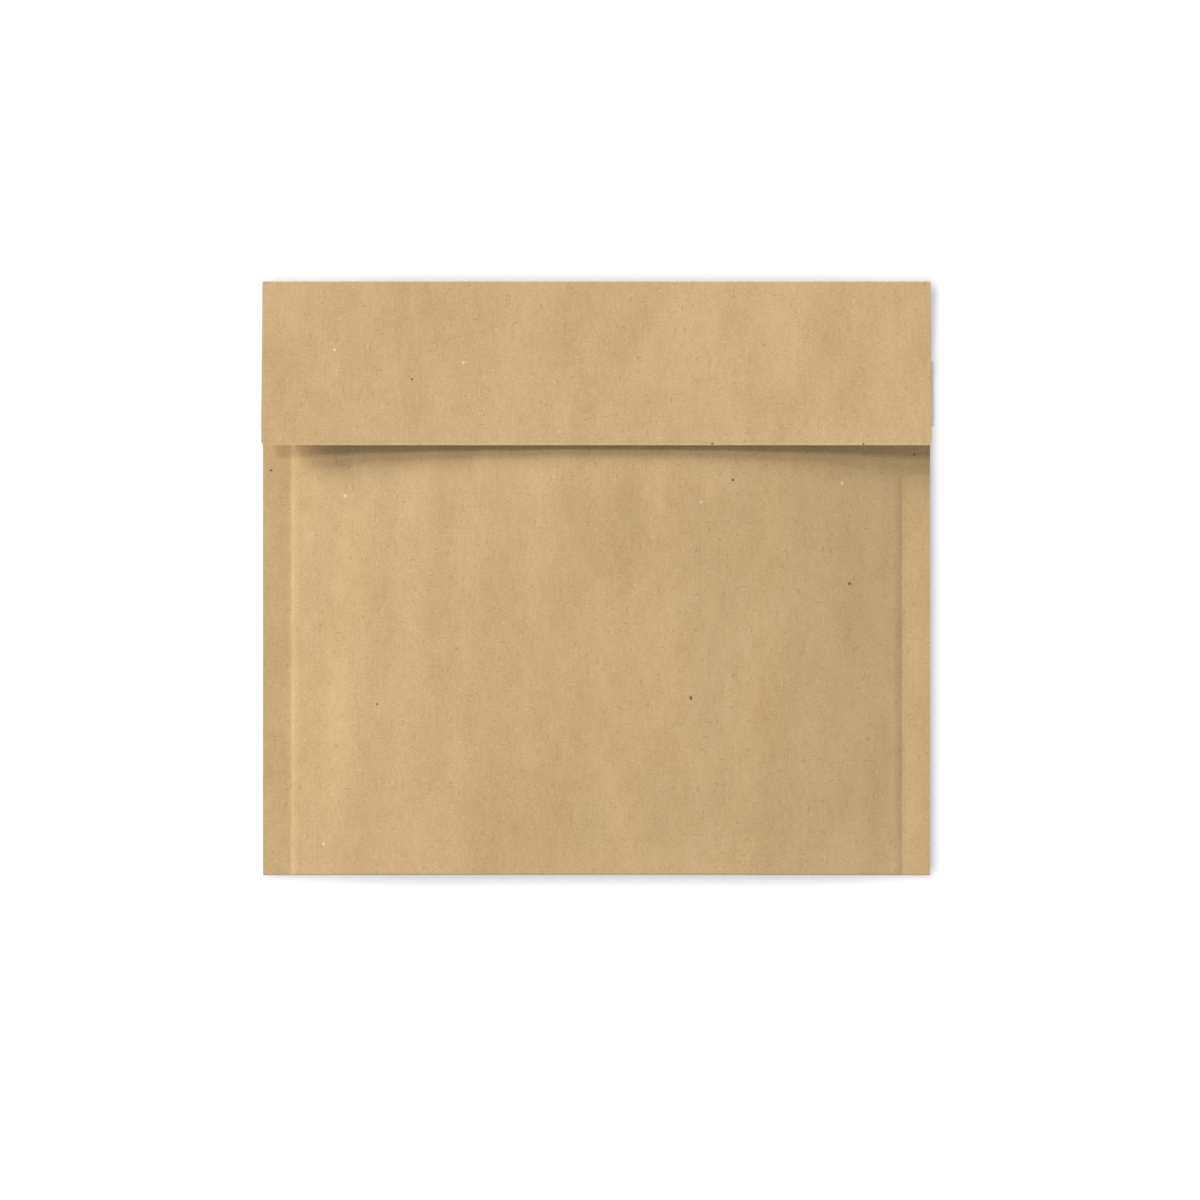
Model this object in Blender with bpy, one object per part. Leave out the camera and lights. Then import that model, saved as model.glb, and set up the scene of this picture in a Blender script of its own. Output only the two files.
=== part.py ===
"""Padded envelope: a folded kraft sheet around a pouch of bubble film, lying with its flap on top.

Metres, +Z up. X runs along the flap's fold and +Y points at that fold. The origin lies on the floor
under the middle of the envelope, which rests on the flat middle of its rear panel.
"""

import math

import bmesh
import bpy

# Outline of the folded envelope
HALF_WIDTH = 0.100
HALF_LENGTH = 0.089  # from the middle to the top fold, and to the bottom fold
SEAM_WIDTH = 0.009  # heat-sealed strip along each side
FLAP_DEPTH = 0.0493
FLAP_CORNER = 0.0012  # radius at the flap's two free corners
LIP_SETBACK = 0.003  # from the top fold down to the front panel's lip
MOUTH_SETBACK = 0.005  # from the top fold down to the film's edge

# Thicknesses, and the gap kept between pieces that touch
PAPER = 0.00015
GAP = 0.0003
FILM_FULL = 0.0026  # one layer of bubbles in the middle of the pouch
FILM_SEALED = 0.00012  # one layer crushed in a side seam
POUCH_GAP = 0.00015  # least distance between the two layers
SEAM_STACK = 2 * (PAPER + GAP + FILM_SEALED) + POUCH_GAP

# Heights above the floor
SEAM_LIFT = 0.0015  # underside of the side seams
END_LIFT = 0.0007  # underside of the middle, at the top and bottom folds
CROWN = 0.0039  # middle of the front panel above its side seams
BOTTOM_CROWN = 0.8  # share of the crown that is left at the bottom fold
FLAP_FOLD_HEIGHT = 0.0041  # the flap's inner face where it starts at the top fold
FLAP_EDGE_HEIGHT = 0.0081  # the flap's inner face at its free edge

# Where the surfaces start to bend
REAR_FLAT_X = 0.060  # the rear panel lies on the floor inside this half width
REAR_FLAT_Y = 0.062  # and inside this half length
BOTTOM_BEND = 0.030  # length over which the crown grows from the bottom fold
MOUTH_BEND_FROM = 0.025  # the crown falls towards the mouth from here
MOUTH_BEND_TO = 0.080
FOLD_ROUND = 0.0007  # most that a rounded fold reaches along Y

# Glue band on the flap's inner face, and the strip that covers it
STRIP_MIDDLE_Y = 0.0552
STRIP_LENGTH = 0.202  # it sticks out a little at both sides
STRIP_WIDTH = 0.0195
STRIP_THICKNESS = 0.00008
GLUE_LENGTH = 0.192
GLUE_WIDTH = 0.015
GLUE_THICKNESS = 0.00012

# How finely the curved sheets are divided
FOLD_STEPS = 6
CROWN_STEPS = 9
CROWN_LAST_STEP = 0.003  # one more column this far inside each seam, where the crown is steepest

KRAFT_COLOUR = (0.60, 0.42, 0.21)

PAD_HALF = HALF_WIDTH - SEAM_WIDTH
FLAP_SLOPE = (FLAP_EDGE_HEIGHT - FLAP_FOLD_HEIGHT) / FLAP_DEPTH


def clear_scene():
    for obj in list(bpy.data.objects):
        bpy.data.objects.remove(obj, do_unlink=True)


def material(name, colour, roughness, alpha=1.0):
    made = bpy.data.materials.new(name)
    made.use_nodes = True
    shader = made.node_tree.nodes["Principled BSDF"]
    shader.inputs["Base Color"].default_value = (*colour, 1.0)
    shader.inputs["Roughness"].default_value = roughness
    shader.inputs["Metallic"].default_value = 0.0
    shader.inputs["Alpha"].default_value = alpha
    return made


def ease(value):
    """0 below 0, 1 above 1, and a smooth bend between."""
    value = min(max(value, 0.0), 1.0)
    return value * value * (3.0 - 2.0 * value)


def shares(count):
    return [step / count for step in range(count + 1)]


def rear_height(x, y):
    """Outer face of the rear panel: flat on the floor in the middle, lifted at the seams and folds."""
    side = ease((abs(x) - REAR_FLAT_X) / (PAD_HALF - REAR_FLAT_X))
    end = ease((abs(y) - REAR_FLAT_Y) / (HALF_LENGTH - REAR_FLAT_Y)) * END_LIFT / SEAM_LIFT
    return SEAM_LIFT * (1.0 - (1.0 - side) * (1.0 - end))


def front_height(x, y):
    """Outer face of the front panel: level at the seams, crowned between them."""
    across = max(0.0, 1.0 - (x / PAD_HALF) ** 2)
    bottom = BOTTOM_CROWN + (1.0 - BOTTOM_CROWN) * ease((y + HALF_LENGTH) / BOTTOM_BEND)
    mouth = 1.0 - ease((y - MOUTH_BEND_FROM) / (MOUTH_BEND_TO - MOUTH_BEND_FROM))
    return SEAM_LIFT + SEAM_STACK + CROWN * across * bottom * mouth


def flap_height(y):
    """Inner face of the flap, which is straight from its fold to its free edge."""
    return FLAP_FOLD_HEIGHT + FLAP_SLOPE * (HALF_LENGTH - y)


def flap_edge(x):
    """Y of the flap's free edge, with its two corners rounded."""
    past = max(0.0, abs(x) - (HALF_WIDTH - FLAP_CORNER))
    return HALF_LENGTH - FLAP_DEPTH + FLAP_CORNER - math.sqrt(FLAP_CORNER**2 - min(past, FLAP_CORNER) ** 2)


def half_fold(y, low, high, depth, towards):
    """Points on the half ellipse that joins two heights at y, from high to low, without its ends."""
    middle = (low + high) / 2
    half = (high - low) / 2
    angles = [math.pi * share for share in shares(FOLD_STEPS)[1:-1]]
    return [(y + towards * depth * math.sin(angle), middle + half * math.cos(angle)) for angle in angles]


def columns(half_width, rounded_corner):
    """X of each column: evenly over the crown, beside the seams' lines, then at the sheet's edges."""
    pad = [PAD_HALF * share for share in shares(CROWN_STEPS)]
    pad.insert(-1, PAD_HALF - CROWN_LAST_STEP)
    seam = [half_width]
    if rounded_corner:
        seam = [half_width - rounded_corner * share for share in (1.0, 0.3, 0.0)]
    right = pad + seam
    return [-x for x in reversed(right[1:])] + right


def kraft_column(x):
    """Middle line of the paper at one x, as (y, z): flap, top fold, rear, bottom fold, front."""
    half = PAPER / 2
    top = HALF_LENGTH - half
    rear_top = rear_height(x, HALF_LENGTH) + half
    flap_top = FLAP_FOLD_HEIGHT + half
    top_depth = min(FOLD_ROUND, (flap_top - rear_top) / 2)
    top_y = top - top_depth
    rear_end = rear_height(x, -HALF_LENGTH) + half
    front_end = front_height(x, -HALF_LENGTH) - half
    end_depth = min(FOLD_ROUND, (front_end - rear_end) / 2)
    end_y = -HALF_LENGTH + half + end_depth
    lip_y = HALF_LENGTH - LIP_SETBACK
    start = flap_edge(x)
    flap = [start + (top_y - start) * share for share in shares(3)]
    rear = [top_y + (end_y - top_y) * share for share in shares(16)]
    front = [end_y + (lip_y - end_y) * share for share in shares(20)]
    line = [(y, flap_height(y) + half) for y in flap]
    line += half_fold(top_y, rear_height(x, top_y) + half, flap_height(top_y) + half, top_depth, 1)
    line += [(y, rear_height(x, y) + half) for y in rear]
    low, high = rear_height(x, end_y) + half, front_height(x, end_y) - half
    line += reversed(half_fold(end_y, low, high, end_depth, -1))
    line += [(y, front_height(x, y) - half) for y in front]
    return line


def film_faces(x, y):
    """Heights of one pouch section: front outer, front inner, rear inner and rear outer."""
    top = front_height(x, y) - PAPER - GAP
    base = rear_height(x, y) + PAPER + GAP
    film = min(FILM_FULL, (top - base - POUCH_GAP) / 2)
    return top, top - film, base + film, base


def film_column(x):
    """Outer and inner line of the pouch at one x, each from the front's mouth round to the rear's."""
    mouth = HALF_LENGTH - MOUTH_SETBACK
    end = -HALF_LENGTH + PAPER + GAP
    top, inner_top, inner_base, base = film_faces(x, end)
    outer_depth = min(FOLD_ROUND, (top - base) / 2)
    inner_depth = (inner_top - inner_base) / 2
    lines = []
    for depth, apex, upper, lower in (
        (outer_depth, end, 0, 3),
        (inner_depth, end + top - inner_top, 1, 2),
    ):
        fold_y = apex + depth
        front = [mouth + (fold_y - mouth) * share for share in shares(14)]
        line = [(y, film_faces(x, y)[upper]) for y in front]
        line += half_fold(fold_y, film_faces(x, fold_y)[lower], line[-1][1], depth, -1)
        line += [(y, film_faces(x, y)[lower]) for y in reversed(front)]
        lines.append(line)
    return lines


def add_grid(mesh, lines, xs, flip):
    """Adds a grid of quads through one (y, z) line per x. Returns its vertices, line by line."""
    grid = [[mesh.verts.new((x, y, z)) for y, z in line] for x, line in zip(xs, lines)]
    for left, right in zip(grid, grid[1:]):
        for index in range(len(left) - 1):
            face = [left[index], right[index], right[index + 1], left[index + 1]]
            mesh.faces.new(reversed(face) if flip else face)
    return grid


def border(grid):
    """The vertices round the edge of a grid, in order."""
    first, last = grid[0], grid[-1]
    return first[:-1] + [line[-1] for line in grid[:-1]] + last[:0:-1] + [line[0] for line in grid[:0:-1]]


def finish_object(name, mesh, finish):
    data = bpy.data.meshes.new(name)
    bmesh.ops.recalc_face_normals(mesh, faces=mesh.faces)
    mesh.to_mesh(data)
    mesh.free()
    data.materials.append(finish)
    data.shade_smooth()
    data.set_sharp_from_angle(angle=math.radians(35))
    made = bpy.data.objects.new(name, data)
    bpy.context.scene.collection.objects.link(made)
    return made


def make_kraft_outer():
    """The whole outside as one folded sheet of paper."""
    xs = columns(HALF_WIDTH, FLAP_CORNER)
    mesh = bmesh.new()
    add_grid(mesh, [kraft_column(x) for x in xs], xs, False)
    sheet = finish_object("kraft_outer", mesh, material("kraft_paper", KRAFT_COLOUR, 0.85))
    solid = sheet.modifiers.new("paper_thickness", "SOLIDIFY")
    solid.thickness = PAPER
    solid.offset = 0.0
    return sheet


def make_bubble_liner():
    """The pouch of bubble film: one web folded at the bottom, thick between the seams."""
    xs = columns(HALF_WIDTH - GAP, 0.0)
    pairs = [film_column(x) for x in xs]
    mesh = bmesh.new()
    outer = add_grid(mesh, [pair[0] for pair in pairs], xs, False)
    inner = add_grid(mesh, [pair[1] for pair in pairs], xs, True)
    outer_edge, inner_edge = border(outer), border(inner)
    for index, corner in enumerate(outer_edge):
        mesh.faces.new([corner, inner_edge[index], inner_edge[index - 1], outer_edge[index - 1]])
    return finish_object("bubble_liner", mesh, material("bubble_film", (0.86, 0.90, 0.92), 0.25, 0.6))


def make_flap_band(name, length, width, thickness, drop, finish):
    """A thin strip parallel to the flap. drop is from the flap's inner face to the strip's middle."""
    tilt = math.atan(FLAP_SLOPE)
    mesh = bmesh.new()
    bmesh.ops.create_cube(mesh, size=1.0)
    bmesh.ops.scale(mesh, vec=(length, width, thickness), verts=mesh.verts)
    band = finish_object(name, mesh, finish)
    band.rotation_euler = (-tilt, 0.0, 0.0)
    band.location = (
        0.0,
        STRIP_MIDDLE_Y - drop * math.sin(tilt),
        flap_height(STRIP_MIDDLE_Y) - drop * math.cos(tilt),
    )
    return band


def make_adhesive_strip():
    drop = GAP + GLUE_THICKNESS / 2
    finish = material("hot_melt_glue", (0.78, 0.70, 0.50), 0.35)
    return make_flap_band("adhesive_strip", GLUE_LENGTH, GLUE_WIDTH, GLUE_THICKNESS, drop, finish)


def make_release_liner():
    drop = GAP + GLUE_THICKNESS + GAP + STRIP_THICKNESS / 2
    finish = material("release_paper", (0.90, 0.90, 0.89), 0.45)
    return make_flap_band("release_liner", STRIP_LENGTH, STRIP_WIDTH, STRIP_THICKNESS, drop, finish)


def main():
    clear_scene()
    root = bpy.data.objects.new("padded_envelope", None)
    bpy.context.scene.collection.objects.link(root)
    for piece in (make_kraft_outer(), make_bubble_liner(), make_adhesive_strip(), make_release_liner()):
        piece.parent = root


main()
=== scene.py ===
"""The padded envelope's looks: kraft sheet, bubble film, glue and release strip, floor, light and camera.

Metres, in the frame's own axes: X along the flap's fold, +Y towards it, +Z up, floor at zero.
"""

import math

import bpy
import numpy as np
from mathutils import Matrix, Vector


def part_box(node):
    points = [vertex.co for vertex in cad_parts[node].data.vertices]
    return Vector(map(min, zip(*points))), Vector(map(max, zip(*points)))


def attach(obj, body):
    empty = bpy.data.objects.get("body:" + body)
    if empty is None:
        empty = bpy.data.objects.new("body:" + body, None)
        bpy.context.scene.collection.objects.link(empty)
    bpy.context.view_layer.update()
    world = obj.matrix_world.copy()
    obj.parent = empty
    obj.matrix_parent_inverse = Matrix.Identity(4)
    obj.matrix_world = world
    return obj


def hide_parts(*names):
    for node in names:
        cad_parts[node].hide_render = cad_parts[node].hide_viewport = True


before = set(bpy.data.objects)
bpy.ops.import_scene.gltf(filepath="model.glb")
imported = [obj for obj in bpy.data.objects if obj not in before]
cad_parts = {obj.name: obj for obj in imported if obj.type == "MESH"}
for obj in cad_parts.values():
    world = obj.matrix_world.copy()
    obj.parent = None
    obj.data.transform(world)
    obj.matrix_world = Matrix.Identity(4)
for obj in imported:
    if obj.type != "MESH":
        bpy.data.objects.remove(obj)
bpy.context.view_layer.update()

# Sizes read from the frame
HALF_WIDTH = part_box("kraft_outer")[1].x
HALF_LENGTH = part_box("kraft_outer")[1].y
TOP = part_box("kraft_outer")[1].z
STRIP_LOW, STRIP_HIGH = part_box("release_liner")
GLUE_LOW, GLUE_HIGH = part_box("adhesive_strip")
MOUTH_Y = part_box("bubble_liner")[1].y

# Outline of the paper
SEAM_WIDTH = 0.0090
FLAP_DEPTH = 0.0493
FLAP_CORNER = 0.0012
LIP_SETBACK = 0.0030
PAD_HALF = HALF_WIDTH - SEAM_WIDTH
PAD_EDGE = PAD_HALF + 0.0005  # where the padding's swell dies out on the front
SEAL_LINES = (PAD_HALF - 0.0045, PAD_HALF + 0.0020)  # the stretch that holds the seal's edge lines
FLAP_EDGE_Y = HALF_LENGTH - FLAP_DEPTH

# Thicknesses
PAPER = 0.00015
TOUCH = 0.00002  # between layers that are pressed together
FILM_SKIN = 0.00006
BUBBLE_HEIGHT = 0.0030
STRIP_PAPER = 0.00008
GLUE = 0.00012

# Bubbles of the film
BUBBLE_PITCH = 0.0115
BUBBLE_RADIUS = 0.0051

# Heights above the floor
SEAM_MIDDLE = 0.00205
SEAM_STACK = 2 * (PAPER + FILM_SKIN) + 5 * TOUCH
END_LIFT = 0.0006
CROWN_TOP = 0.00665
FLAP_FOLD_Z = 0.0040
FLAP_EDGE_Z = TOP - PAPER
FLAP_SLOPE = (FLAP_EDGE_Z - FLAP_FOLD_Z) / FLAP_DEPTH
BOTTOM_CROWN = 0.80  # share of the crown that is left at the bottom fold
FOLD_ROUND = 0.0003  # radius of the paper's folds
END_PULL = 0.0004  # the padding draws the bottom fold in by this much at its middle
SEAL_STEP = 0.00008  # soft rise from a seam to the padding
SEAL_LINE = 0.00003  # sharper rise within it
SEAL_RIDGE = 0.00005  # ridge beside it, on the padding
SEAM_WAVE = 0.00012  # how far the sealed strips wander up and down

# Where the surfaces start to bend
REAR_FLAT_X = 0.058  # the rear panel lies on the floor inside this half width
REAR_FLAT_Y = 0.060  # and inside this half length
WAVE_FROM_X = 0.060  # the seams' wander dies out inside this half width
BOTTOM_BEND = 0.034  # length over which the crown grows from the bottom fold
MOUTH_BEND_FROM = 0.024  # the crown falls towards the mouth from here
MOUTH_BEND = 0.056

# Photograph's framing: width of the view at the paper, and where its middle lies
VIEW_WIDTH = 0.3599
VIEW_MIDDLE = (0.00105, -0.00645)
CAMERA_HEIGHT = 1.05
SENSOR = 36.0

# Colours of the light: the keys are white, the fill and the room a little cool
WHITE = (1.0, 1.0, 1.0, 1.0)
COOL = (1.0, 1.06, 1.13, 1.0)
ROOM_LIGHT = 0.236


# ---------------------------------------------------------------- surfaces


def ease(value):
    """0 below 0, 1 above 1, and a smooth bend between."""
    value = np.clip(value, 0.0, 1.0)
    return value * value * (3.0 - 2.0 * value)


def bump(value, middle, width):
    """A soft ridge of height 1."""
    return np.exp(-(((value - middle) / width) ** 2))


def ripples(x, y, length_x, length_y, seed, count=9):
    """Smooth random waves of about unit height, with those lengths across and along the sheet."""
    rng = np.random.default_rng(seed)
    total = np.zeros(np.broadcast(x, y).shape)
    for _ in range(count):
        across = rng.uniform(0.6, 1.6) / length_x * rng.choice((-1.0, 1.0))
        along = rng.uniform(0.2, 1.4) / length_y
        total += np.cos(2 * math.pi * (across * x + along * y) + rng.uniform(0, 2 * math.pi))
    return total / math.sqrt(count)


def seam_wave(x, y):
    """How the sealed strips wander up and down along their length."""
    side = ease((np.abs(x) - WAVE_FROM_X) / (PAD_HALF - WAVE_FROM_X))
    return side * SEAM_WAVE * ripples(np.sign(x) * 0.05, y, 0.2, 0.070, 11)


def rear_height(x, y):
    """Outer face of the rear panel: on the floor in the middle, lifted at the seams and folds."""
    side = ease((np.abs(x) - REAR_FLAT_X) / (PAD_HALF - REAR_FLAT_X))
    end = ease((np.abs(y) - REAR_FLAT_Y) / (HALF_LENGTH - REAR_FLAT_Y)) * END_LIFT / SEAM_MIDDLE
    lifted = 1.0 - (1.0 - side) * (1.0 - end)
    dented = ease((np.abs(x) - 0.02) / 0.04) * (1.0 - side)
    dents = 0.00004 * (1.0 + ripples(x, y, 0.030, 0.080, 3)) * dented
    return (SEAM_MIDDLE - SEAM_STACK / 2) * lifted + seam_wave(x, y) + np.maximum(dents, 0.0)


def crown(x, y):
    """How far the padding lifts the front panel above its seams."""
    side = np.abs(x) / PAD_EDGE
    across = np.maximum(0.0, 1.0 - 0.82 * side**2 - 0.18 * side**6)
    bottom = BOTTOM_CROWN + (1.0 - BOTTOM_CROWN) * ease((y + HALF_LENGTH) / BOTTOM_BEND)
    mouth = 1.0 - ease((y - MOUTH_BEND_FROM) / MOUTH_BEND)
    return (CROWN_TOP - SEAM_MIDDLE - SEAM_STACK / 2) * across * bottom * mouth


def front_height(x, y):
    """Outer face of the front panel, with the seal's edge lines and the paper's soft buckles."""
    side = np.abs(x)
    pad = ease((PAD_HALF - side) / 0.012)
    step = SEAL_STEP * ease((PAD_EDGE + 0.0013 - side) / 0.0024)
    line = SEAL_LINE * ease((PAD_EDGE + 0.0002 - side) / 0.0012)
    ridge = SEAL_RIDGE * bump(side, PAD_EDGE - 0.0021, 0.0011)
    buckle = 0.00008 * ripples(x, y, 0.026, 0.22, 5) + 0.00003 * ripples(x, y, 0.045, 0.05, 6)
    smooth = SEAM_MIDDLE + SEAM_STACK / 2 + crown(x, y) + seam_wave(x, y)
    return smooth + step + line + ridge + pad * buckle


def flap_height(x, y):
    """Inner face of the flap, straight from its fold, with soft buckles and a cut edge that turns up."""
    free = ease((HALF_LENGTH - y) / 0.012)
    buckle = 0.00005 * ripples(x, y, 0.034, 0.060, 7) + 0.00003 * ripples(x, y, 0.018, 0.030, 8)
    burr = 0.00004 * ease((FLAP_EDGE_Y + 0.0006 - y) / 0.0006)
    mean_dip = 0.00008
    return FLAP_FOLD_Z + FLAP_SLOPE * (HALF_LENGTH - y) + free * (buckle - mean_dip) + burr


# ---------------------------------------------------------------- meshes


def stations(*runs):
    """Numbers from one end of each run to the other, (from, to, step) each, without repeats."""
    parts = []
    for low, high, step in runs:
        count = max(2, round(abs(high - low) / step) + 1)
        parts.append(np.linspace(low, high, count))
    return np.concatenate([parts[0]] + [part[1:] for part in parts[1:]])


def closed_grid(outer, inner):
    """Points and quads of the closed body between two grids of points with the same shape."""
    rows, cols = outer.shape[:2]
    index = np.arange(rows * cols).reshape(rows, cols)
    one, two = index[:-1, :-1], index[1:, :-1]
    three, four = index[1:, 1:], index[:-1, 1:]
    top = np.stack([one, two, three, four], -1).reshape(-1, 4)
    edge = np.concatenate([index[:-1, 0], index[-1, :-1], index[:0:-1, -1], index[0, :0:-1]])
    after = np.roll(edge, -1)
    low = rows * cols
    rim = np.stack([edge, edge + low, after + low, after], -1)
    points = np.concatenate([outer.reshape(-1, 3), inner.reshape(-1, 3)])
    return points, np.concatenate([top, top[:, ::-1] + low, rim])


def mesh_object(name, points, quads, sheet_uv):
    """A smooth-shaded mesh object whose UV map "sheet" holds each point's place on the flat sheet."""
    data = bpy.data.meshes.new(name)
    data.from_pydata(points.tolist(), [], quads.tolist())
    layer = data.uv_layers.new(name="sheet")
    corners = np.empty(len(data.loops), np.int32)
    data.loops.foreach_get("vertex_index", corners)
    layer.data.foreach_set("uv", sheet_uv[corners].astype(np.float32).ravel())
    data.shade_smooth()
    data.set_sharp_from_angle(angle=math.radians(50))
    made = bpy.data.objects.new(name, data)
    bpy.context.scene.collection.objects.link(made)
    return made


def normals_of(points):
    """Unit normals of a grid of points, from its rows to its columns by the right-hand rule."""
    across = np.gradient(points, axis=0)
    along = np.gradient(points, axis=1)
    normal = np.cross(across, along)
    return normal / np.linalg.norm(normal, axis=2, keepdims=True)


def thick_sheet(name, middle, thickness, sheet_uv):
    """A sheet of one thickness about a grid of points."""
    offset = normals_of(middle) * thickness / 2
    points, quads = closed_grid(middle + offset, middle - offset)
    flat = sheet_uv.reshape(-1, 2)
    return mesh_object(name, points, quads, np.concatenate([flat, flat]))


def arc(y, low, high, depth, towards, steps=6):
    """(y, z) grids round a fold from high to low at each column, without its ends.

    A fold is two quarter circles of radius depth with a straight wall between them.
    """
    angle = np.linspace(0.0, math.pi / 2, steps + 1)[1:-1]
    radius = depth[:, None]
    drop = radius * (1.0 - np.cos(angle))
    out = y[:, None] + towards * radius * np.sin(angle)
    upper, lower = high[:, None] - drop, low[:, None] + drop
    y_grid = np.concatenate([out, out[:, ::-1]], axis=1)
    return y_grid, np.concatenate([upper, lower[:, ::-1]], axis=1)


def spread(start, end, shares):
    """Values from start to end in those shares, one row for each column of paper."""
    return start[:, None] + (end - start)[:, None] * shares


def paper_columns():
    """X of the paper's columns: close together at the seal's edge lines and the flap's corners."""
    right = stations(
        (0.0, SEAL_LINES[0], 0.0017),
        (SEAL_LINES[0], PAD_HALF - 0.0008, 0.0005),
        (PAD_HALF - 0.0008, SEAL_LINES[1], 0.0002),
        (SEAL_LINES[1], HALF_WIDTH - FLAP_CORNER, 0.0015),
        (HALF_WIDTH - FLAP_CORNER, HALF_WIDTH, 0.0002),
    )
    return np.concatenate([-right[:0:-1], right])


def kraft_middle():
    """The paper's middle surface as a grid, one column of (x, y, z) for each x, and its sheet places.

    Each column runs along the flap, over the top fold, down the rear panel, round the bottom fold and
    up the front panel to its lip.
    """
    x = paper_columns()
    half = PAPER / 2
    end = np.full_like(x, HALF_LENGTH - half)
    past = np.clip(np.abs(x) - (HALF_WIDTH - FLAP_CORNER), 0.0, FLAP_CORNER)
    start = FLAP_EDGE_Y + FLAP_CORNER - np.sqrt(FLAP_CORNER**2 - past**2)

    rear_top, flap_top = rear_height(x, end) + half, flap_height(x, end) + half
    top_depth = np.minimum(FOLD_ROUND, (flap_top - rear_top) / 2)
    top_y = end - top_depth
    rear_end, front_end = rear_height(x, -end) + half, front_height(x, -end) - half
    end_depth = np.minimum(FOLD_ROUND, (front_end - rear_end) / 2)
    end_y = -end + end_depth + END_PULL * np.clip(1.0 - (x / PAD_EDGE) ** 2, 0.0, 1.0)
    lip = np.full_like(x, HALF_LENGTH - LIP_SETBACK)

    flap_shares = stations((0.0, 0.02, 0.005), (0.02, 0.97, 0.028), (0.97, 1.0, 0.01))
    rear_shares = stations((0.0, 0.02, 0.005), (0.02, 0.98, 0.0145), (0.98, 1.0, 0.005))
    front_shares = stations((0.0, 0.02, 0.004), (0.02, 1.0, 0.0095))
    xs = x[:, None]
    flap_y = spread(start, top_y, flap_shares)
    rear_y = spread(top_y, end_y, rear_shares)
    front_y = spread(end_y, lip, front_shares)
    flap_z = flap_height(xs, flap_y) + half
    rear_z = rear_height(xs, rear_y) + half
    front_z = front_height(xs, front_y) - half
    top_arc = arc(top_y, rear_z[:, 0], flap_z[:, -1], top_depth, 1)
    end_arc = arc(end_y, rear_z[:, -1], front_z[:, 0], end_depth, -1)
    y = np.concatenate([flap_y, top_arc[0], rear_y, end_arc[0][:, ::-1], front_y], axis=1)
    z = np.concatenate([flap_z, top_arc[1], rear_z, end_arc[1][:, ::-1], front_z], axis=1)
    points = np.stack([np.broadcast_to(xs, y.shape), y, z], -1)
    centre = len(x) // 2
    length = np.concatenate([[0.0], np.cumsum(np.hypot(np.diff(y[centre]), np.diff(z[centre])))])
    front_start = length[-front_y.shape[1]] - front_y[centre, 0]
    sheet = np.stack(np.broadcast_arrays(xs, (length - front_start)[None, :]), -1)
    return points, sheet


def make_kraft(material):
    """The whole paper: flap, rear panel and front panel in one sheet."""
    middle, sheet = kraft_middle()
    kraft = thick_sheet("kraft_paper", middle, PAPER, sheet)
    kraft.data.materials.append(material)
    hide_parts("kraft_outer")
    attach(kraft, "root")
    return kraft


def domes(x, y, shift):
    """Height from 0 to 1 of rows of round air bubbles, each row set half a pitch along."""
    row_gap = BUBBLE_PITCH * math.sqrt(3) / 2
    row = np.round(y / row_gap)
    along = x / BUBBLE_PITCH + 0.5 * (row % 2) + shift
    from_middle = np.hypot((along - np.round(along)) * BUBBLE_PITCH, y - row * row_gap)
    return np.maximum(0.0, 1.0 - (from_middle / BUBBLE_RADIUS) ** 2) ** 0.4


def make_film(material):
    """The pouch: one web folded at the bottom, smooth against the paper and with bubbles inside."""
    half_width = HALF_WIDTH - 0.0002  # just inside the paper's cut edges
    bubbles_end = PAD_HALF - 0.003
    right = stations(
        (0.0, SEAL_LINES[0], 0.0015),
        (SEAL_LINES[0], SEAL_LINES[1] + 0.0002, 0.0004),
        (SEAL_LINES[1] + 0.0002, half_width, 0.0025),
    )
    x = np.concatenate([-right[:0:-1], right])
    xs = x[:, None]
    skin = PAPER + TOUCH  # from the paper's outer face to the film's
    shares = stations((0.0, 1.0, 0.0085))
    fold_y = -HALF_LENGTH + 2 * skin + FOLD_ROUND + END_PULL
    y = MOUTH_Y + (fold_y - MOUTH_Y) * shares
    ys = y[None, :]
    upper, lower = front_height(xs, ys) - skin, rear_height(xs, ys) + skin
    room = np.maximum((upper - lower) / 2 - FILM_SKIN - TOUCH, 0.0)
    swell = np.minimum(BUBBLE_HEIGHT, room) * ease((bubbles_end - np.abs(xs)) / 0.006)
    front_in = upper - FILM_SKIN - swell * domes(xs, ys, 0.0)
    rear_in = lower + FILM_SKIN + swell * domes(xs, ys, 0.5)
    fold = np.full_like(x, fold_y)
    outer_depth = np.minimum(FOLD_ROUND, (upper[:, -1] - lower[:, -1]) / 2)
    outer_arc = arc(fold, lower[:, -1], upper[:, -1], outer_depth, -1)
    inner_depth = np.minimum(outer_depth / 2, (front_in[:, -1] - rear_in[:, -1]) / 2)
    inner_arc = arc(fold, rear_in[:, -1], front_in[:, -1], inner_depth, -1)
    grids = []
    for top, bottom, (arc_y, arc_z) in ((upper, lower, outer_arc), (front_in, rear_in, inner_arc)):
        panel_y = np.broadcast_to(ys, top.shape)
        web_y = np.concatenate([panel_y, arc_y, panel_y[:, ::-1]], axis=1)
        web_z = np.concatenate([top, arc_z, bottom[:, ::-1]], axis=1)
        grids.append(np.stack([np.broadcast_to(xs, web_y.shape), web_y, web_z], -1))
    outer, inner = grids
    points, quads = closed_grid(inner, outer)
    steps = np.diff(outer[0, :, 1:], axis=0, prepend=0.0)
    along = np.cumsum(np.hypot(steps[:, 0], steps[:, 1]))
    sheet = np.stack(np.broadcast_arrays(xs, along[None, :]), -1).reshape(-1, 2)
    film = mesh_object("bubble_film", points, quads, np.concatenate([sheet, sheet]))
    film.data.materials.append(material)
    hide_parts("bubble_liner")
    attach(film, "root")
    return film


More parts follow.
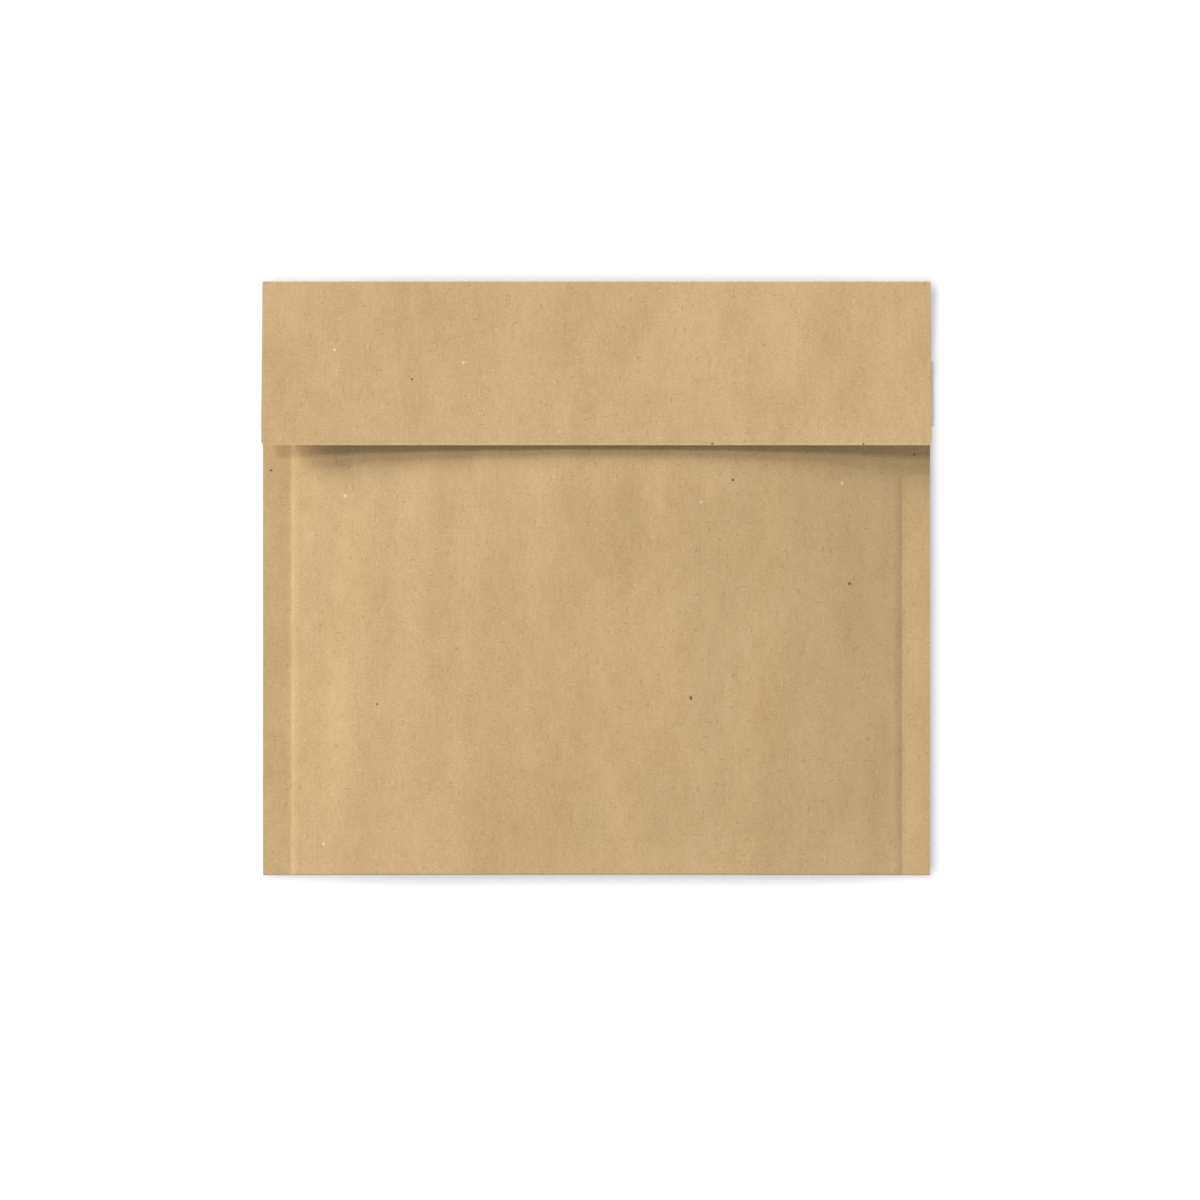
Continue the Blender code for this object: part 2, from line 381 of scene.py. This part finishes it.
def make_glue(material):
    """The band of hot-melt glue on the flap's inner face, with slightly uneven edges."""
    x = np.linspace(GLUE_LOW.x, GLUE_HIGH.x, 160)
    shares = np.linspace(0.0, 1.0, 13)
    wander = 0.00025  # how far its long edges stray
    low = GLUE_LOW.y + wander * ripples(x, 0.0, 0.011, 1.0, 21)
    high = GLUE_HIGH.y + wander * ripples(x, 0.0, 0.009, 1.0, 22)
    y = spread(low, high, shares)
    xs = x[:, None]
    z = flap_height(xs, y) - TOUCH - GLUE / 2
    points = np.stack([np.broadcast_to(xs, y.shape), y, z], -1)
    glue = thick_sheet("glue_band", points, GLUE, points[..., :2])
    glue.data.materials.append(material)
    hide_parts("adhesive_strip")
    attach(glue, "root")
    return glue


def make_strip(material):
    """The release strip over the glue. Its two ends stick out and sag away from the flap."""
    ends = 0.092  # the strip is divided finely past here
    x = stations((STRIP_LOW.x, -ends, 0.0005), (-ends, ends, 0.003), (ends, STRIP_HIGH.x, 0.0005))
    shares = np.linspace(0.0, 1.0, 15)
    ones = np.ones_like(x)
    y = spread(STRIP_LOW.y * ones, STRIP_HIGH.y * ones, shares)
    xs = x[:, None]
    loose = ease((np.abs(xs) - 0.097) / 0.004)
    sag = 0.00035 * loose * (0.6 - 0.4 * np.cos(math.pi * shares))
    gap = 0.00002 * (1.0 + ripples(xs, y, 0.05, 0.03, 31))
    z = flap_height(xs, y) - 2 * TOUCH - GLUE - STRIP_PAPER / 2 - gap - sag
    points = np.stack([np.broadcast_to(xs, y.shape), y, z], -1)
    strip = thick_sheet("release_strip", points, STRIP_PAPER, points[..., :2])
    strip.data.materials.append(material)
    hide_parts("release_liner")
    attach(strip, "root")
    return strip


# ---------------------------------------------------------------- materials


class Nodes:
    """Short calls for building one material's node tree."""

    def __init__(self, name):
        self.material = bpy.data.materials.new(name)
        self.material.use_nodes = True
        self.tree = self.material.node_tree
        self.shader = self.tree.nodes["Principled BSDF"]

    def add(self, kind, settings=None, **inputs):
        """A new node with its settings, and inputs given by name, or by number as i0, i1 and so on."""
        made = self.tree.nodes.new(kind)
        for key, value in (settings or {}).items():
            setattr(made, key, value)
        for key, value in inputs.items():
            name = int(key[1:]) if key[1:].isdigit() else key
            self.feed(made.inputs[name], value)
        return made

    def feed(self, socket, value):
        """Links a socket to an input, or gives the input a value."""
        if isinstance(value, bpy.types.NodeSocket):
            self.tree.links.new(value, socket)
        else:
            socket.default_value = value

    def surface(self, name, value):
        """Sets one of the shader's own inputs."""
        self.feed(self.shader.inputs[name], value)

    def math(self, operation, one, two=0.0):
        """A sum, product or other operation on two numbers."""
        return self.add("ShaderNodeMath", {"operation": operation}, i0=one, i1=two).outputs[0]

    def vector(self, operation, one, two):
        """The same on two vectors."""
        return self.add("ShaderNodeVectorMath", {"operation": operation}, i0=one, i1=two).outputs[0]

    def sheet(self):
        """The place on the flat sheet, in metres."""
        return self.add("ShaderNodeUVMap", {"uv_map": "sheet"}).outputs[0]

    def noise(self, vector, scale, detail=0.0, roughness=0.5):
        """Soft random noise about 0.5, with scale waves a metre."""
        inputs = {"Vector": vector, "Scale": scale, "Detail": detail, "Roughness": roughness}
        return self.add("ShaderNodeTexNoise", None, **inputs).outputs["Fac"]

    def stretched(self, vector, *shares):
        """The place with its axes scaled, so that a texture is drawn out along the small ones."""
        return self.vector("MULTIPLY", vector, (*shares, 1.0))

    def cells(self, vector, scale):
        """Cells about random points: the distance to the point, and a random colour a cell."""
        flat = {"voronoi_dimensions": "2D"}
        return self.add("ShaderNodeTexVoronoi", flat, Vector=vector, Scale=scale)

    def signed(self, noise, amount):
        """A noise made to swing by about amount to each side of zero."""
        return self.math("MULTIPLY", self.math("SUBTRACT", noise, 0.5), amount)

    def total(self, *values):
        """The sum of all the values."""
        result = values[0]
        for value in values[1:]:
            result = self.math("ADD", result, value)
        return result

    def ramp(self, value, low, high):
        """0 at low, 1 at high and straight between."""
        made = self.add("ShaderNodeMapRange", None, Value=value)
        made.inputs["From Min"].default_value = low
        made.inputs["From Max"].default_value = high
        return made.outputs[0]

    def blend(self, share, one, two):
        """The first colour where share is 0, the second where it is 1."""
        made = self.add("ShaderNodeMix", {"data_type": "RGBA", "clamp_factor": True})
        self.feed(made.inputs[0], share)
        self.feed(made.inputs[6], one)
        self.feed(made.inputs[7], two)
        return made.outputs[2]

    def relief(self, height, strength, distance):
        """Gives the shader a fine relief."""
        inputs = {"Strength": strength, "Distance": distance, "Height": height}
        self.surface("Normal", self.add("ShaderNodeBump", None, **inputs).outputs[0])


def tone(colour, factor):
    """A colour made darker or lighter as kraft paper does, with its blue changing most."""
    shares = (1.0, 1.2, 1.7)
    return (*[part * (1.0 + (factor - 1.0) * share) for part, share in zip(colour, shares)], 1.0)


def fibre_marks(nodes, place, angle, length, width, kept):
    """Masks of short fibres at one angle: the dark ones and the light ones."""
    turned = nodes.add("ShaderNodeMapping", None, Vector=place, Rotation=(0.0, 0.0, angle)).outputs[0]
    stretched = nodes.stretched(turned, 1.0 / length, 1.0 / width)
    cells = nodes.cells(stretched, 1.0)
    parts = nodes.add("ShaderNodeSeparateColor", None, Color=cells.outputs["Color"])
    shape = nodes.ramp(cells.outputs["Distance"], 0.15, 0.05)
    chosen = nodes.math("GREATER_THAN", parts.outputs[0], 1.0 - kept)
    light = nodes.math("GREATER_THAN", parts.outputs[1], 0.72)
    mark = nodes.math("MULTIPLY", shape, chosen)
    light_mark = nodes.math("MULTIPLY", mark, light)
    return nodes.math("SUBTRACT", mark, light_mark), light_mark


def specks(nodes, place, spacing, radius, kept):
    """Mask of small round specks scattered over the sheet."""
    cells = nodes.cells(place, 1.0 / spacing)
    parts = nodes.add("ShaderNodeSeparateColor", None, Color=cells.outputs["Color"])
    size = radius / spacing
    shape = nodes.ramp(cells.outputs["Distance"], size, size * 0.4)
    return nodes.math("MULTIPLY", shape, nodes.math("GREATER_THAN", parts.outputs[0], 1.0 - kept))


def kraft_material():
    """Smooth brown kraft: cloudy tone, fine lines along the web, short fibres and a few specks."""
    colour = (0.546, 0.3625, 0.1755)
    nodes = Nodes("kraft_paper")
    place = nodes.sheet()

    # Tone: broad clouds, streaks along the web, patches, fine lines along the web, and grain
    cloud = nodes.signed(nodes.noise(nodes.stretched(place, 1.0, 0.50), 62.0, 4.0, 1.0), 0.37)
    streak = nodes.signed(nodes.noise(nodes.stretched(place, 1.0, 0.10), 45.0, 1.0, 0.5), 0.16)
    patch = nodes.signed(nodes.noise(place, 26.0), 0.07)
    lines = nodes.signed(nodes.noise(nodes.stretched(place, 1.0, 0.07), 1500.0, 1.0, 0.6), 0.07)
    grain = nodes.signed(nodes.noise(place, 1500.0, 3.0, 1.0), 0.72)
    shade = nodes.total(cloud, streak, patch, lines, grain)
    span = 0.3  # the most that the shade darkens or lightens the colour
    share = nodes.math("ADD", nodes.math("MULTIPLY", shade, 0.5 / span), 0.5)
    base = nodes.blend(share, tone(colour, 1.0 - span), tone(colour, 1.0 + span))

    # Fibres and flecks, bent a little so that no outline is regular
    wander = nodes.add("ShaderNodeTexNoise", None, Vector=place, Scale=600.0, Detail=0.0)
    shift = nodes.vector("MULTIPLY", wander.outputs["Color"], (0.0010, 0.0010, 0.0))
    bent = nodes.vector("ADD", place, shift)
    fibre_strength = 0.80
    fibres = (  # angle, length, width, share of the cells that hold one
        (0.20, 0.0060, 0.0011, 0.08),
        (1.25, 0.0055, 0.0010, 0.07),
        (1.75, 0.0070, 0.0011, 0.09),
        (2.60, 0.0060, 0.0010, 0.06),
    )
    for angle, length, width, kept in fibres:
        dark, light = fibre_marks(nodes, bent, angle, length, width, kept)
        base = nodes.blend(nodes.math("MULTIPLY", dark, fibre_strength), base, tone(colour, 0.72))
        base = nodes.blend(nodes.math("MULTIPLY", light, fibre_strength), base, tone(colour, 1.26))
    flecks = (  # spacing, radius, share of the cells that hold one, strength, colour
        (0.016, 0.00026, 0.30, 0.75, tone(colour, 0.52)),
        (0.048, 0.00052, 0.50, 0.95, (0.060, 0.080, 0.095, 1.0)),
        (0.037, 0.00060, 0.26, 0.60, (0.88, 0.70, 0.54, 1.0)),
    )
    for spacing, radius, kept, strength, paint in flecks:
        mark = nodes.math("MULTIPLY", specks(nodes, bent, spacing, radius, kept), strength)
        base = nodes.blend(mark, base, paint)

    # Finish
    rough = nodes.ramp(nodes.noise(place, 900.0, 2.0, 0.6), -1.6, 2.2)
    nodes.surface("Base Color", base)
    nodes.surface("Roughness", nodes.math("ADD", nodes.math("MULTIPLY", rough, 0.3), 0.62))
    nodes.surface("Specular IOR Level", 0.25)
    nodes.relief(nodes.total(grain, lines), 0.7, 0.00006)
    return nodes.material


def film_material():
    """Clear polythene with a faint haze and tiny flow lines."""
    nodes = Nodes("bubble_film")
    place = nodes.sheet()
    haze = nodes.noise(place, 260.0, 3.0, 0.6)
    flow = nodes.noise(nodes.stretched(place, 1.0, 0.1), 700.0, 1.0)
    nodes.surface("Base Color", nodes.blend(haze, (0.80, 0.84, 0.87, 1.0), (0.93, 0.95, 0.96, 1.0)))
    nodes.surface("Roughness", nodes.math("ADD", nodes.math("MULTIPLY", haze, 0.14), 0.10))
    nodes.surface("Transmission Weight", 0.45)
    nodes.surface("IOR", 1.5)
    nodes.relief(flow, 0.25, 0.00004)
    return nodes.material


def glue_material():
    """Amber hot-melt glue, glossy and a little uneven."""
    nodes = Nodes("hot_melt_glue")
    place = nodes.sheet()
    flow = nodes.noise(nodes.stretched(place, 0.25, 1.0), 700.0, 2.0)
    nodes.surface("Base Color", nodes.blend(flow, (0.62, 0.50, 0.27, 1.0), (0.80, 0.72, 0.48, 1.0)))
    nodes.surface("Roughness", nodes.math("ADD", nodes.math("MULTIPLY", flow, 0.2), 0.18))
    nodes.relief(flow, 0.4, 0.00005)
    return nodes.material


def strip_material():
    """White siliconised release paper: smooth, with a soft shine and a trace of fibre."""
    nodes = Nodes("release_paper")
    place = nodes.sheet()
    cloud = nodes.noise(nodes.stretched(place, 0.5, 1.0), 420.0, 4.0, 0.7)
    nodes.surface("Base Color", nodes.blend(cloud, (0.80, 0.80, 0.79, 1.0), (0.92, 0.92, 0.91, 1.0)))
    nodes.surface("Roughness", nodes.math("ADD", nodes.math("MULTIPLY", cloud, 0.2), 0.25))
    nodes.relief(nodes.noise(place, 1400.0, 2.0), 0.2, 0.00003)
    return nodes.material


def floor_material():
    """A white table that glows evenly away from the envelope, with a painted contact shadow near it that
    leans away from the keys.
    """
    nodes = Nodes("pale_floor")
    reach = 0.0060
    darkness = 1.2
    brightness = 1.16
    # Painted contact shadow: the glow is dimmed where ambient occlusion, leaned towards the keys, finds
    # the envelope close by
    towards_key = nodes.add("ShaderNodeCombineXYZ", None, X=-1.30, Y=0.25, Z=1.0).outputs[0]
    near = nodes.add("ShaderNodeAmbientOcclusion", {"samples": 8}, Distance=reach, Normal=towards_key)
    shadow = nodes.math("POWER", near.outputs["AO"], darkness)
    glow = nodes.math("MULTIPLY", shadow, brightness)
    nodes.surface("Emission Strength", glow)
    nodes.surface("Emission Color", (0.985, 0.99, 1.0, 1.0))
    nodes.surface("Base Color", (0.0, 0.0, 0.0, 1.0))
    nodes.surface("Roughness", 1.0)
    nodes.surface("Specular IOR Level", 0.0)
    return nodes.material


# ---------------------------------------------------------------- stage


def make_floor():
    """A wide square just under the paper."""
    half = 3.0
    data = bpy.data.meshes.new("floor")
    corners = [(-half, -half, 0.0), (half, -half, 0.0), (half, half, 0.0), (-half, half, 0.0)]
    data.from_pydata(corners, [], [(0, 1, 2, 3)])
    floor = bpy.data.objects.new("floor", data)
    floor.location.z = -0.00005  # clear of the rear panel
    floor.data.materials.append(floor_material())
    bpy.context.scene.collection.objects.link(floor)


def make_camera():
    """Straight above, looking down, with VIEW_WIDTH in view at the height of the seams."""
    camera = bpy.data.objects.new("camera", bpy.data.cameras.new("camera"))
    camera.data.sensor_width = SENSOR
    camera.data.lens = SENSOR * (CAMERA_HEIGHT - SEAM_MIDDLE) / VIEW_WIDTH
    camera.data.clip_end = 20.0
    camera.location = (*VIEW_MIDDLE, CAMERA_HEIGHT)
    bpy.context.scene.collection.objects.link(camera)
    bpy.context.scene.camera = camera


def make_sun(name, towards, strength, spread_deg, colour=WHITE):
    """A soft sun that shines from the direction given as a vector from the envelope."""
    lamp = bpy.data.lights.new(name, "SUN")
    lamp.color = colour[:3]
    lamp.energy = strength
    lamp.angle = math.radians(spread_deg)
    sun = bpy.data.objects.new(name, lamp)
    sun.rotation_euler = Vector(towards).to_track_quat("Z", "Y").to_euler()
    bpy.context.scene.collection.objects.link(sun)


def make_light():
    """Two soft keys from the upper left, one of them low, a broad fill opposite, and a pale room.

    The room lights the envelope a little, and looks white behind it in the low views.
    """
    make_sun("high_key", (-0.7, 0.6, 1.0), 1.04, 14.0)
    make_sun("low_key", (-3.5, 2.1, 1.0), 5.20, 18.0)
    make_sun("fill", (0.5, -0.8, 1.0), 0.83, 50.0, COOL)
    world = bpy.data.worlds.new("studio")
    world.use_nodes = True
    tree = world.node_tree
    lit = tree.nodes["Background"]
    lit.inputs["Color"].default_value = COOL
    lit.inputs["Strength"].default_value = ROOM_LIGHT
    seen = tree.nodes.new("ShaderNodeBackground")
    seen.inputs["Color"].default_value = WHITE
    seen.inputs["Strength"].default_value = 1.0
    rays = tree.nodes.new("ShaderNodeLightPath")
    choice = tree.nodes.new("ShaderNodeMixShader")
    tree.links.new(rays.outputs["Is Camera Ray"], choice.inputs[0])
    tree.links.new(lit.outputs[0], choice.inputs[1])
    tree.links.new(seen.outputs[0], choice.inputs[2])
    tree.links.new(choice.outputs[0], tree.nodes["World Output"].inputs["Surface"])
    bpy.context.scene.world = world
    bpy.context.scene.view_settings.view_transform = "Standard"


make_camera()
make_light()
make_floor()
make_kraft(kraft_material())
make_film(film_material())
make_glue(glue_material())
make_strip(strip_material())
